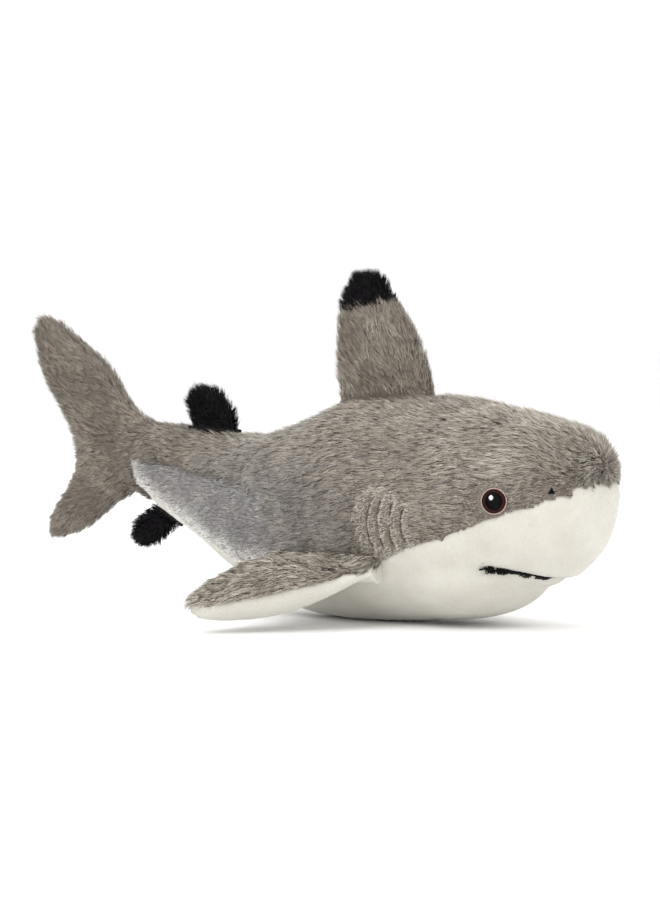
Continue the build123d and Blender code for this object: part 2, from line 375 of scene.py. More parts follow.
def knitted(name, dark, light, patch=60.0, grain=900.0, bump=0.35, sheen=0.25):
    """The fabric that pile grows from: patchy, with a fine nap."""
    material, tree, shader = principled(name)
    ramp = tree.nodes.new("ShaderNodeValToRGB")
    for element, position, colour in zip(ramp.color_ramp.elements, (0.32, 0.68), (dark, light)):
        element.position, element.color = position, colour
    half, blend = tree.nodes.new("ShaderNodeMath"), tree.nodes.new("ShaderNodeMath")
    half.operation, blend.operation = "MULTIPLY", "MULTIPLY_ADD"
    for part, field in ((blend, noise(tree, patch, 3.0)), (half, noise(tree, grain, 5.0))):
        part.inputs[1].default_value = 0.5
        tree.links.new(field, part.inputs[0])
    tree.links.new(half.outputs[0], blend.inputs[2])
    tree.links.new(blend.outputs[0], ramp.inputs["Fac"])
    tree.links.new(ramp.outputs["Color"], shader.inputs["Base Color"])
    raised = tree.nodes.new("ShaderNodeBump")
    settle(raised, Strength=bump, Distance=0.0006)
    tree.links.new(noise(tree, grain, 6.0, 0.7), raised.inputs["Height"])
    tree.links.new(raised.outputs["Normal"], shader.inputs["Normal"])
    settle(shader, Roughness=0.85, Sheen_Weight=sheen, Sheen_Roughness=0.5)
    return material


def fibre_shades(name, colours, sheen=0.15, gloss=0.3):
    """One plain material for each shade of pile fibre: the variety is in which fibre has which."""
    shades = []
    for index, colour in enumerate(colours):
        material, _, shader = principled(f"{name}_{index}")
        settle(shader, Base_Color=srgb(*colour), Roughness=0.55, Sheen_Weight=sheen, Specular_IOR_Level=gloss)
        shades.append(material)
    return shades


def threads(name, dark, light, grain=2500.0):
    """Satin thread: fine lengthways variation and a soft gloss."""
    material = knitted(name, dark, light, patch=400.0, grain=grain, bump=0.25)
    settle(material.node_tree.nodes["Principled BSDF"], Roughness=0.42, Sheen_Weight=0.0, Specular_IOR_Level=0.08)
    return material


CLOTHS = {    # by slot
    "frosted_grey_pile": knitted("grey_ground", srgb(84, 76, 68), srgb(118, 108, 98)),
    "cool_grey_pile": knitted("cool_grey_ground", srgb(104, 101, 99), srgb(132, 129, 127)),
    "white_pile": knitted("white_ground", srgb(182, 178, 168), srgb(198, 195, 186), bump=0.15),
    "black_pile": knitted("black_ground", srgb(5, 4, 5), srgb(14, 12, 14), sheen=0.0),
    "fibre_filling": knitted("fibre_filling", srgb(214, 214, 211), srgb(246, 246, 244), 90.0, 500.0, 0.8),
    "pouch_cloth": knitted("pouch_cloth", srgb(196, 190, 178), srgb(224, 219, 208), 300.0, 2600.0),
    "pellet_plastic": knitted("pellet_plastic", srgb(186, 186, 182), srgb(214, 214, 210), 500.0, 1500.0, 0.1),
    "mauve_thread": threads("mauve_thread", srgb(158, 130, 126), srgb(208, 184, 178)),
    "brown_thread": threads("brown_thread", srgb(28, 12, 11), srgb(50, 23, 21)),
    "black_thread": threads("black_thread", srgb(2, 2, 2), srgb(7, 6, 7)),
    "white_thread": threads("white_thread", srgb(196, 196, 196), srgb(232, 232, 232)),
    "dark_grey_thread": threads("dark_grey_thread", srgb(60, 54, 49), srgb(100, 92, 84)),
}
COOL_TIPS = fibre_shades("cool_tip", [(116, 113, 112), (130, 127, 125), (143, 140, 138), (156, 153, 151),
                                      (176, 173, 170), (204, 201, 197), (228, 226, 221)])

# Pile of each fabric. Lengths in metres, density in fibres a square metre, lean in degrees from upright
# for the lower and the upper half. pull gathers fibres into clumps, spread turns them sideways, and wild
# is how much their lean and lie vary. soft is the share of a fibre's own facing in its shading, and
# contrast spreads the shades.
PILES = {
    "frosted_grey_pile": dict(
        length=0.0076, width=0.00033, lean=(42, 76), density=3.1e6, clump=0.0025, pull=0.34, spread=8, wild=1,
        soft=0.26, contrast=0.75,
        deep=fibre_shades("grey_root", [(96, 88, 79), (112, 103, 93), (128, 119, 108)]),
        tips=fibre_shades("grey_tip", [(116, 107, 96), (132, 123, 111), (145, 136, 123), (157, 148, 135),
                                       (171, 162, 148), (190, 182, 169)])),
    "cool_grey_pile": dict(
        length=0.0046, width=0.00034, lean=(50, 78), density=2.2e6, clump=0.0026, pull=0.3, spread=6, wild=1,
        soft=0.2, contrast=0.5,
        deep=fibre_shades("cool_root", [(118, 115, 113), (142, 139, 137), (206, 203, 197)]),
        tips=COOL_TIPS),
    "white_pile": dict(
        length=0.0020, width=0.00034, lean=(74, 87), density=2.8e6, clump=0.0016, pull=0.04, spread=7,
        wild=0.25, soft=0.04, contrast=0.2,
        deep=fibre_shades("white_root", [(178, 175, 166), (198, 195, 186), (230, 228, 220)], 0.05),
        tips=fibre_shades("white_tip", [(176, 173, 163), (183, 180, 170), (190, 187, 177), (208, 206, 197),
                                        (226, 224, 216), (242, 240, 234)], 0.05)),
    "black_pile": dict(
        length=0.0066, width=0.00040, lean=(28, 54), density=2.6e6, clump=0.0030, pull=0.7, spread=12, wild=1,
        soft=0.4, contrast=1.0,
        deep=fibre_shades("black_root", [(3, 2, 3), (6, 5, 6)], 0.0, 0.05),
        tips=fibre_shades("black_tip", [(6, 5, 7), (10, 8, 11), (16, 13, 17), (26, 22, 27)], 0.0, 0.08)),
}
PILE_DEPTH = {"frosted_grey_pile": 0.0036, "cool_grey_pile": 0.0018, "white_pile": 0.0012,
              "black_pile": 0.0030}        # how far the backing lies under the CAD surface
SLOTS = {part["node"]: part["material_slot"] for part in record["subparts"]}


# ---------------- pile fibres
def scatter(points, ups, quads, density, rng, mine):
    """Random roots over a skin, and their normals: those that mine(roots, their quads) keeps."""
    triangles = np.concatenate([quads[:, [0, 1, 2]], quads[:, [0, 2, 3]]])
    corners = points[triangles]
    area = np.linalg.norm(np.cross(corners[:, 1] - corners[:, 0], corners[:, 2] - corners[:, 0]), axis=1) / 2
    pick = rng.choice(len(area), int(area.sum() * density), p=area / area.sum())
    share = rng.random((len(pick), 2))
    beyond = share.sum(1) > 1
    share[beyond] = 1 - share[beyond]
    weight = np.stack([1 - share.sum(1), share[:, 0], share[:, 1]], 1)

    def read(field):
        return (field[triangles[pick]] * weight[:, :, None]).sum(1)

    root, up = read(points), unit(read(ups))
    kept = mine(root, pick % len(quads))
    return root[kept], up[kept]


def fibre_mesh(name, stems, across_root, across_middle, shade_root, shade_tip, shading):
    """Ribbons of a square and a pointed end: stems is (root, middle, tip). Each has 5 points and 7 corners."""
    root, middle, tip = stems
    count = len(root)
    points = np.stack([root - across_root, root + across_root, middle - across_middle,
                       middle + across_middle, tip], 1).reshape(-1, 3)
    first = np.arange(count)[:, None] * 5
    loops = np.concatenate([first + [0, 1, 3, 2], first + [2, 3, 4]], 1).ravel()
    starts = (np.arange(count)[:, None] * 7 + [0, 4]).ravel()
    mesh = bpy.data.meshes.new(name)
    mesh.vertices.add(count * 5)
    mesh.vertices.foreach_set("co", points.astype(np.float32).ravel())
    mesh.loops.add(len(loops))
    mesh.loops.foreach_set("vertex_index", loops.astype(np.int32))
    mesh.polygons.add(count * 2)
    mesh.polygons.foreach_set("loop_start", starts.astype(np.int32))
    mesh.polygons.foreach_set("material_index", np.stack([shade_root, shade_tip], 1).astype(np.int32).ravel())
    mesh.update(calc_edges=True)
    smooth_shaded(mesh)
    mesh.normals_split_custom_set_from_vertices(np.repeat(shading, 5, axis=0))
    return mesh


def pile(name, style, skin, mine, nap, seed, tone=None, length=None, cool=None):
    """Grows pile on a skin, (points, normals, quads), lying along nap(points). tone, length and cool are
    functions of the roots: a shift towards the paler shades, a share of the full length, and the share
    of fibres with cool tips."""
    rng = np.random.default_rng(seed)
    points, ups, quads = skin
    root, up = scatter(points, ups, quads, style["density"], rng, mine)
    tall = np.ones(len(root)) if length is None else length(root)
    kept = tall > 0.05
    root, up, tall = root[kept], up[kept], tall[kept]
    light = np.zeros(len(root)) if tone is None else tone(root)
    way = nap(root)
    way = unit(way - (way * up).sum(1, keepdims=True) * up)
    side = np.cross(up, way)

    size = style["clump"]
    cell = np.floor(root / size + 0.35 * np.stack([ripple(root, size * 3, seed + i) for i in range(3)], 1))
    cell = cell.astype(np.int64)
    key = (cell[:, 0] * 73856093 ^ cell[:, 1] * 19349663 ^ cell[:, 2] * 83492791) % 65521
    table = rng.random((65521, 6))[key]
    pull = (cell + 0.2 + 0.6 * table[:, :3]) * size - root
    pull -= (pull * up).sum(1, keepdims=True) * up
    pull *= np.minimum(1, size / np.maximum(np.linalg.norm(pull, axis=1, keepdims=True), 1e-9))

    wild = style["wild"]
    turn = np.radians(rng.normal(0, style["spread"], len(root)) + (table[:, 3] - 0.5) * 2.2 * style["spread"]
                      + 14 * wild * ripple(root, 0.03, seed + 7))
    way = np.cos(turn)[:, None] * way + np.sin(turn)[:, None] * side
    low, high = (np.radians(angle + wild * ((table[:, 4] - 0.5) * 16 + rng.normal(0, 6, len(root))))[:, None]
                 for angle in style["lean"])
    long = (style["length"] * tall * (0.8 + 0.3 * table[:, 5]) * rng.uniform(0.7, 1.1, len(root)))[:, None]
    first, last = np.cos(low) * up + np.sin(low) * way, np.cos(high) * up + np.sin(high) * way
    pull *= style["pull"] * np.minimum(1, tall)[:, None]
    start = root - up * 0.0004
    middle = start + first * long * 0.48 + pull * 0.4
    tip = middle + last * long * 0.52 + pull * 0.5
    for ends in (start, middle, tip):
        ends[:, 2] = np.maximum(ends[:, 2], LOWEST_PILE)

    stem = unit(tip - start)
    flat = unit(np.cross(stem, up))
    twist = np.radians(np.clip(rng.normal(0, 38, len(root)), -75, 75))[:, None]
    across = np.cos(twist) * flat + np.sin(twist) * np.cross(stem, flat)
    across *= style["width"] / 2 * rng.uniform(0.75, 1.2, (len(root), 1))
    facing = unit(np.cross(across, stem))
    shading = unit(up + style["soft"] * facing)

    vary = style["contrast"]
    patch = 0.5 + vary * (0.16 * ripple(root, 0.03, seed + 11) + 0.12 * ripple(root, 0.011, seed + 12)) + light
    deep, tips = style["deep"], list(style["tips"])
    shade_root = np.clip((patch + rng.normal(0, 0.2, len(root))) * len(deep), 0, len(deep) - 1).astype(int)
    bright = patch + vary * (0.4 * (table[:, 5] - 0.5) + rng.normal(0, 0.17, len(root)))
    shade_tip = len(deep) + np.clip(bright * len(tips), 0, len(tips) - 1).astype(int)
    if cool is not None:
        cold = rng.random(len(root)) < cool(root)
        step = np.clip((bright - 0.08) * (len(COOL_TIPS) - 2), 0, len(COOL_TIPS) - 3).astype(int)
        shade_tip = np.where(cold, len(deep) + len(tips) + step, shade_tip)
        tips += COOL_TIPS
    mesh = fibre_mesh(name, (start, middle, tip), across, across * 0.8, shade_root, shade_tip, shading)
    for material in deep + tips:
        mesh.materials.append(material)
    return new_object(name, mesh)


# ---------------- panels
def panel(name, points, quads, slot):
    """A sewn panel: part of a form's skin, as thick as its backing."""
    used, faces = np.unique(quads, return_inverse=True)
    faces = [face[:3] if face[2] == face[3] else face for face in faces.reshape(-1, 4).tolist()]
    obj = new_object(name, new_mesh(name, points[used], faces))
    gauge = obj.modifiers.new("gauge", "SOLIDIFY")
    gauge.thickness, gauge.offset = SKIN_GAUGE, -1
    apply_modifiers(obj)
    finish_cloth(obj, slot)
    return obj


def finish_cloth(obj, slot):
    obj.data.materials.clear()
    obj.data.materials.append(CLOTHS[slot])
    rest = obj.data.attributes.new("rest", "FLOAT_VECTOR", "POINT")
    rest.data.foreach_set("vector", points_of(obj.data).astype(np.float32).ravel())


def bend(obj, first, last, start, end):
    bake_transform(obj)


# ---------------- where things are
FIN_DEPTH = 0.0022                      # how far a fin's backing lies under the CAD surface
EMBROIDERED_DEPTH = 0.0010              # and the skin under embroidery
PECTORAL_DROOP = math.radians(15)
FINS = {    # length and radius of the root's socket, the way out of the body, and the lie of the pile
    "dorsal_fin": dict(joint="dorsal_fin_lean", root=(0.0622, 0.0115), outward=(0, 0, 1), nap=(-0.55, 0, 1)),
    "second_dorsal_fin": dict(joint="second_dorsal_fin_lean", root=(0.0316, 0.007), outward=(0, 0, 1),
                              nap=(-0.7, 0, 1)),
    "anal_fin": dict(joint="anal_fin_lean", root=(0.0222, 0.007), outward=(-0.5, 0, -0.86),
                     nap=(-0.9, 0, -0.8)),
}
for side, way in zip(SIDES, (1, -1)):
    FINS[f"pectoral_fin_{side}"] = dict(
        joint=f"pectoral_fin_{side}_flap", root=(0.068, 0.0095), nap=(-0.7, 0.75 * way, -0.2),
        outward=(0, math.cos(PECTORAL_DROOP) * way, -math.sin(PECTORAL_DROOP)))
SMALL_ROOT = 0.009                      # a fin with a root of less radius than this is a small one
BODIES = record["behaviour"]["bodies"]
NOSE = np.array([0.196, 0, 0.088])
TAIL_ROOT = np.array([-0.085, 0, 0.088])


def panels_of(*bodies):
    return [node for body in bodies for node in BODIES[body] if "_panel" in node or "_tip" in node
            or "_top" in node or "_underside" in node]


def local(points, fin):
    """Distances along a fin's hinge, across it and out of the body."""
    joint = joints[FINS[fin]["joint"]]
    along = unit(np.array(joint["axis"], float))
    outward = np.array(FINS[fin]["outward"], float)
    outward = unit(outward - outward @ along * along)
    offset = points - np.array(joint["pos_m"])
    return offset @ along, offset @ np.cross(along, outward), offset @ outward


def footprint(points):
    """True where a fin is sewn onto the trunk."""
    inside = np.zeros(len(points), bool)
    for fin, facts in FINS.items():
        along, across, out = local(points, fin)
        length, radius = facts["root"]
        inside |= ((along / (length / 2)) ** 2 + (across / (radius * 0.8)) ** 2 < 0.9) & (abs(out) < 0.012)
    return inside


def sockets():
    blocks = []
    for facts in FINS.values():
        joint = joints[facts["joint"]]
        length, radius = facts["root"]
        along = Vector(joint["axis"]).normalized()
        outward = Vector(facts["outward"])
        outward = (outward - outward.dot(along) * along).normalized()
        blocks.append((joint["pos_m"], along, outward, length, 2 * radius, radius, 0.001))
    return blocks


def depth_under(node):
    return FIN_DEPTH if "fin" in node else PILE_DEPTH[SLOTS[node]]


def seam_points(mesh, owner):
    """1 at each point with a neighbour on another panel."""
    edges = edges_of(mesh)
    crossing = edges[owner[edges[:, 0]] != owner[edges[:, 1]]].ravel()
    held = np.zeros(len(owner))
    held[crossing] = 1
    return held


def inset(mesh, depth):
    points = points_of(mesh)
    for _ in range(2):
        place_points(mesh, points)
        points = points - normals_of(mesh) * depth[:, None] / 2
    place_points(mesh, points)
    return points


# ---------------- trunk, tail and caudal fin, in one skin
trunk_panels = panels_of("torso", "tail", "caudal_fin")
trunk_nodes = trunk_panels + ["torso_fill", "tail_fill", "caudal_fin_fill", "pellet_pouch", "pellets"]
trims = {side: [f"{part}_{side}" for part in ("eye_outline", "eye_iris", "eye_pupil", "eye_highlight",
                                               "nostril", "gill_stitching")] for side in SIDES}
on_back = [(trim, f"torso_back_panel_{side}") for side in SIDES for trim in trims[side]]
trunk_map = NodeMap(trunk_panels, on_back, outer=True)
face_map = NodeMap(trims["left"] + trims["right"] + ["mouth_stitching"])
eye_map = NodeMap([name for side in SIDES for name in trims[side][:5]])
gill_map = NodeMap([f"gill_stitching_{side}" for side in SIDES])
mouth_map = NodeMap(["mouth_stitching"])

REACH = 0.02                            # distances to embroidery matter no further than this
trunk = moulded("trunk_form", trunk_nodes + trims["left"] + trims["right"], BODY_VOXEL, sockets())
trunk_owner = trunk_map.owners(points_of(trunk.data))
depth = np.array([depth_under(name) for name in trunk_panels])[trunk_owner]
near_face = smoothstep(face_map.distances(points_of(trunk.data), REACH), 0.003, 0.010)
depth = relax(EMBROIDERED_DEPTH + (depth - EMBROIDERED_DEPTH) * near_face, edges_of(trunk.data), 3)
inset(trunk.data, depth)
held = relax(seam_points(trunk.data, trunk_owner), edges_of(trunk.data), 1)
held = np.maximum(held, 1 - smoothstep(face_map.distances(points_of(trunk.data), REACH), 0.002, 0.008))
stuffed(trunk, 0.0025, held)
subdivide(trunk)
points, on_seam = snap_to_seams(trunk.data, trunk_map)

SEAM_TUCK, DART_TUCK, MOUTH_TUCK, GILL_TUCK = 0.0009, 0.0026, 0.0022, 0.0009
GILL_RIDGE, LIP_RIDGE = 0.0007, 0.0006  # the skin rises this much beside a tuck
SAG, SAG_LENGTH = 0.0009, 0.045         # uneven stuffing
edges, ups = edges_of(trunk.data), normals_of(trunk.data)
seam = np.zeros(len(points))
seam[on_seam] = 1
dart = seam * (abs(points[:, 0] + 0.048) < 0.050) * (points[:, 2] > 0.064) * (abs(points[:, 1]) > 0.010)
to_mouth = mouth_map.distances(points, REACH)
to_gill = gill_map.distances(points, REACH)
tuck = SEAM_TUCK * relax(seam, edges, 2) * 1.6 + DART_TUCK * relax(dart, edges, 2) * 1.6
tuck += MOUTH_TUCK * np.exp(-(to_mouth / 0.0028) ** 2) + GILL_TUCK * np.exp(-(to_gill / 0.0016) ** 2)
tuck -= GILL_RIDGE * np.exp(-((to_gill - 0.0026) / 0.0012) ** 2)
tuck -= LIP_RIDGE * np.exp(-((to_mouth - 0.006) / 0.003) ** 2)
points = points - ups * tuck[:, None]
points = points + ups * (SAG * ripple(points, SAG_LENGTH, 5))[:, None]
points[:, 2] = np.maximum(points[:, 2], LOWEST_CLOTH)
place_points(trunk.data, points)
ups, quads = normals_of(trunk.data), quads_of(trunk.data)
trunk_skin = BVHTree.FromPolygons([Vector(p) for p in points], quads.tolist())


def nap_of_trunk(root):
    """Back from the nose, a little downwards; out along the lobes on the caudal fin."""
    from_nose = root - NOSE
    near = np.exp(-np.linalg.norm(from_nose, axis=1, keepdims=True) / 0.035)
    way = near * unit(from_nose) + (1 - near) * unit(np.array([-1.0, 0, -0.22]))
    lobe = smoothstep(-root[:, :1], 0.098, 0.125)
    return (1 - lobe) * way + lobe * unit(root - TAIL_ROOT)


belly_map = NodeMap(["torso_belly_panel", "tail_belly_panel"])
flank_map = NodeMap([f"{part}_flank_panel_{side}" for part in ("torso", "tail") for side in SIDES])


def above_crease(root):
    """1 over the part of the flank's seam that is a crease."""
    return smoothstep(-root[:, 0], -0.012, 0.004) * smoothstep(root[:, 2], 0.060, 0.066)


def clear_of_face(slot):
    """Pile is shorn next to embroidery, by the gap that a fibre may fill, and short along the face's
    seam and the flank's crease."""
    def tall(root):
        to_gill = gill_map.distances(root, 0.015)
        near_eye = eye_map.distances(root, 0.015) * 1.1 + 0.0006
        near_gill = np.where(to_gill < 0.0003, 0, 0.0017 + to_gill * 0.55)
        near_mouth = mouth_map.distances(root, 0.015) * 1.2 + 0.0002
        gap = np.minimum(np.minimum(near_eye, near_gill), near_mouth)
        bare = (gap < 0.0007) | footprint(root)
        share = np.clip(gap / PILES[slot]["length"], 0, 1)
        if slot == "frosted_grey_pile":
            face = smoothstep(root[:, 0], 0.03, 0.09)
            at_seam = 1 - smoothstep(belly_map.distances(root, 0.015), 0.0, 0.009)
            at_flank = 1 - smoothstep(flank_map.distances(root, 0.015), 0.0, 0.007)
            share = np.minimum(share, 1 - 0.62 * face * at_seam) * (1 - 0.6 * at_flank * above_crease(root))
        return np.where(bare, 0, share)
    return tall


def off_fins(root):
    return np.where(footprint(root), 0.0, 1.0)


def flank_tone(root):
    """The flank's cool grey pales to white next to the belly and the caudal fin."""
    at_belly = 1 - smoothstep(belly_map.distances(root, 0.03), 0.0, 0.017)
    return 0.62 * np.maximum(at_belly, smoothstep(-root[:, 0], 0.088, 0.112)) - 0.18


def back_tone(root):
    """Paler along the top of the head and on the shorter pile between the gills, darker on the tail, and darker
    along the flank's crease, which is painted shade in the crease.
    """
    head = smoothstep(root[:, 0], 0.09, 0.15) * smoothstep(root[:, 2], 0.070, 0.100)
    gills = 1 - smoothstep(gill_map.distances(root, 0.02), 0.003, 0.007)
    tail = smoothstep(-root[:, 0], 0.03, 0.08)
    # painted shade: fibres next to the part of the flank's seam that is a crease take darker shades
    crease = (1 - smoothstep(flank_map.distances(root, 0.01), 0.0, 0.0022)) * above_crease(root)
    return 0.26 * head + 0.5 * gills - 0.22 * tail - 0.4 * crease - 0.04


def side_coolness(root):
    """The long pile turns a cooler grey down the sides, and most of all next to the flank."""
    down = smoothstep(-root[:, 2], -0.115, -0.06)
    back = smoothstep(-root[:, 0], -0.10, 0.0) * (1 - smoothstep(-root[:, 0], 0.03, 0.07))
    return 0.10 + 0.6 * down * back + 0.10 * down * (1 - smoothstep(-root[:, 0], 0.03, 0.07))


def belly_tone(root):
    return np.full(len(root), -0.28)


REGIONS = [(f"{part}_panel_{side}", (f"torso_{part}_panel_{side}", f"tail_{part}_panel_{side}"))
           for part in ("back", "flank") for side in SIDES]
REGIONS.append(("belly_panel", ("torso_belly_panel", "tail_belly_panel")))
TONES = {"frosted_grey_pile": back_tone, "cool_grey_pile": flank_tone, "white_pile": belly_tone}
FIN_TONES = {"caudal_fin": -0.33, "dorsal_fin": -0.13, "second_dorsal_fin": 0.0, "anal_fin": 0.0,
             "pectoral_fin_left": 0.2, "pectoral_fin_right": 0.2}
UNDERSIDE_TONE = 0.3
COOLNESS = {"frosted_grey_pile": side_coolness}


def even_tone(shift):
    return lambda root: np.full(len(root), shift)


class Form:
    """A stuffed skin: its points, normals and quads, the panel of each quad, and which lie on a seam."""

    def __init__(self, points, ups, quads, panel_map):
        self.points, self.ups, self.quads, self.panel_map = points, ups, quads, panel_map
        self.centres = points[quads].mean(1)
        self.owner = panel_map.owners(self.centres)
        least, most = np.full(len(points), len(panel_map.names)), np.full(len(points), -1)
        np.minimum.at(least, quads.ravel(), np.repeat(self.owner, 4))
        np.maximum.at(most, quads.ravel(), np.repeat(self.owner, 4))
        self.at_seam = (least != most)[quads].any(1)


def cover(name, form, chosen, within, span, slot, stands_for, nap, tone, tall, seed, cool=None):
    """The backing of one panel and its pile. span, (first body, last body, start, end), is not used. On the quads
    at a seam, a fibre is the panel's own if its root is on the panel's side."""
    cloth = panel(f"{name}_cloth", form.points, form.quads[chosen], slot)
    wide = chosen | (form.at_seam & within)
    sure = (chosen & ~form.at_seam)[wide]
    own = np.unique(form.owner[chosen])

    def mine(root, quad):
        kept = sure[quad].copy()
        doubtful = np.nonzero(~kept)[0]
        kept[doubtful] = np.isin(form.panel_map.owners(root[doubtful]), own)
        return kept

    hairs = pile(f"{name}_pile", PILES[slot], (form.points, form.ups, form.quads[wide]), mine, nap, seed,
                 tone, tall, cool)
    for piece in (cloth, hairs):
        bend(piece, *span)
    if stands_for:
        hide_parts(*stands_for)


trunk_form = Form(points, ups, split_on_seam(quads, on_seam, len(points)), trunk_map)
ahead = trunk_form.centres[:, 0] > SPLIT_X
TAIL_SPAN = "torso", "tail", (TAIL_BEND[0], 0, 0.06), (TAIL_BEND[1], 0, 0.06)
CAUDAL_SPAN = "tail", "caudal_fin", (CAUDAL_BEND[0], 0, 0.09), (CAUDAL_BEND[1], 0, 0.09)
for number, (name, stands_for) in enumerate(REGIONS):
    mine = np.isin(trunk_form.owner, [trunk_panels.index(node) for node in stands_for])
    slot = SLOTS[stands_for[0]]
    cover(name, trunk_form, mine & ahead, ahead, TAIL_SPAN, slot, stands_for, nap_of_trunk, TONES[slot],
          clear_of_face(slot), 100 + number, COOLNESS.get(slot))
    cover(f"tail_end_{name}", trunk_form, mine & ~ahead, ~ahead, CAUDAL_SPAN, slot, (), nap_of_trunk,
          TONES[slot], off_fins, 120 + number, COOLNESS.get(slot))
for number, side in enumerate(SIDES):
    node = f"caudal_fin_panel_{side}"
    cover(f"caudal_fin_{side}", trunk_form, trunk_form.owner == trunk_panels.index(node), ~ahead, CAUDAL_SPAN,
          SLOTS[node], (node,), nap_of_trunk, even_tone(FIN_TONES["caudal_fin"]), None, 140 + number)
bpy.data.objects.remove(trunk)

# ---------------- the other fins
for number, (fin, facts) in enumerate(FINS.items()):
    joint = joints[facts["joint"]]
    fin_panels = panels_of(fin)
    fin_map = NodeMap(fin_panels, outer=True)
    small = facts["root"][1] < SMALL_ROOT
    body = moulded(f"{fin}_form", BODIES[fin], SMALL_FIN_VOXEL if small else FIN_VOXEL)
    owner = fin_map.owners(points_of(body.data))
    inset(body.data, np.full(len(owner), FIN_DEPTH * (0.75 if small else 1)))
    held = np.maximum(relax(seam_points(body.data, owner), edges_of(body.data), 1),
                      (local(points_of(body.data), fin)[2] < 0.002).astype(float))
    stuffed(body, 0.0012 if small else 0.002, held)
    subdivide(body)
    fin_points, on_seam = snap_to_seams(body.data, fin_map)
    seam = np.zeros(len(fin_points))
    seam[on_seam] = 1
    fin_points -= normals_of(body.data) * (SEAM_TUCK * relax(seam, edges_of(body.data), 2))[:, None]
    place_points(body.data, fin_points)
    fin_quads = split_on_seam(quads_of(body.data), on_seam, len(fin_points))
    fin_form = Form(fin_points, normals_of(body.data), fin_quads, fin_map)
    outside = local(fin_form.centres, fin)[2] > -ROOT_DEPTH
    start = np.array(joint["pos_m"])
    end = start + unit(np.array(facts["outward"], float)) * FIN_BEND
    span = joint["parent"], joint["child"], tuple(start), tuple(end)

    def nap(root, lie=np.array(facts["nap"], float)):
        return np.broadcast_to(unit(lie), root.shape)

    def tall(root, fin=fin):
        return smoothstep(local(root, fin)[2], -0.002, 0.001)

    for index, node in enumerate(fin_panels):
        tone = even_tone(FIN_TONES[fin] + (UNDERSIDE_TONE if SLOTS[node] == "white_pile" else 0))
        cover(node.replace("_panel", "_face"), fin_form, (fin_form.owner == index) & outside, outside, span,
              SLOTS[node], (node,), nap, tone, tall, 200 + 10 * number + index)
    bpy.data.objects.remove(body)

# ---------------- stuffing, pouch and pellets
STUFFING_INSET = 0.0024


def lumpy(name, names, voxel, amount, slot):
    obj = moulded(name, names, voxel)
    lumps = points_of(obj.data)
    push = amount * ripple(lumps, 0.024, 31) + 0.4 * amount * ripple(lumps, 0.009, 32) - STUFFING_INSET
    place_points(obj.data, lumps + normals_of(obj.data) * push[:, None])
    subdivide(obj)
    finish_cloth(obj, slot)
    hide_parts(names[0])
    return obj


for fill, voxel, span in (("torso_fill", STUFFING_VOXEL, TAIL_SPAN), ("tail_fill", STUFFING_VOXEL, TAIL_SPAN),
                          ("caudal_fin_fill", FIN_VOXEL, CAUDAL_SPAN)):
    bend(lumpy(f"{fill}_fibre", [fill], voxel, 0.0008, "fibre_filling"), *span)
for fin, facts in FINS.items():
    fill = next(node for node in BODIES[fin] if "_fill" in node)
    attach(lumpy(f"{fill}_fibre", [fill], SMALL_FIN_VOXEL, 0.0003, "fibre_filling"), fin)
pouch = lumpy("pellet_pouch_cloth", ["pellet_pouch", "pellets"], FIN_VOXEL, 0.0005, "pouch_cloth")
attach(pouch, "torso")

PELLET_SIZE = 0.0016
low, high = (np.array(corner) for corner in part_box("pellets"))
pouch_centre, pouch_half = (low + high) / 2, (high - low) / 2 - 0.0042
steps = [np.arange(-half, half, PELLET_SIZE * 2.15) for half in pouch_half]
grid = np.stack(np.meshgrid(*steps, indexing="ij"), -1).reshape(-1, 3)
grid = grid[(grid ** 2 / pouch_half ** 2).sum(1) < 1]
grid += np.random.default_rng(41).uniform(-0.00012, 0.00012, grid.shape) + pouch_centre
bm = bmesh.new()
bmesh.ops.create_icosphere(bm, subdivisions=1, radius=PELLET_SIZE)
bead = np.array([v.co for v in bm.verts])
bead_faces = np.array([[v.index for v in f.verts] for f in bm.faces])
bm.free()
shape = (grid[:, None] + bead[None] * np.array([1, 1, 0.82])).reshape(-1, 3)
faces = (bead_faces[None] + (np.arange(len(grid)) * len(bead))[:, None, None]).reshape(-1, 3)
beads = new_object("pellet_beads", new_mesh("pellet_beads", shape, faces.tolist()))
smooth_shaded(beads.data)
finish_cloth(beads, "pellet_plastic")
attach(beads, "torso")
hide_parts("pellets")


# ---------------- embroidery
def node_points(node):
    return points_of(nodes[node].data)


def near_skin(point, outward, lift):
    """The nearest point of the trunk's skin, raised by lift."""
    return np.array(trunk_skin.find_nearest(Vector(point))[0]) + np.array(outward) * lift


def on_skin(point, outward, lift):
    """The point of the trunk's skin under one, raised by lift."""
    hit = trunk_skin.ray_cast(Vector(point) + Vector(outward) * 0.012, -Vector(outward), 0.03)[0]
    return near_skin(point, outward, lift) if hit is None else np.array(hit) + np.array(outward) * lift


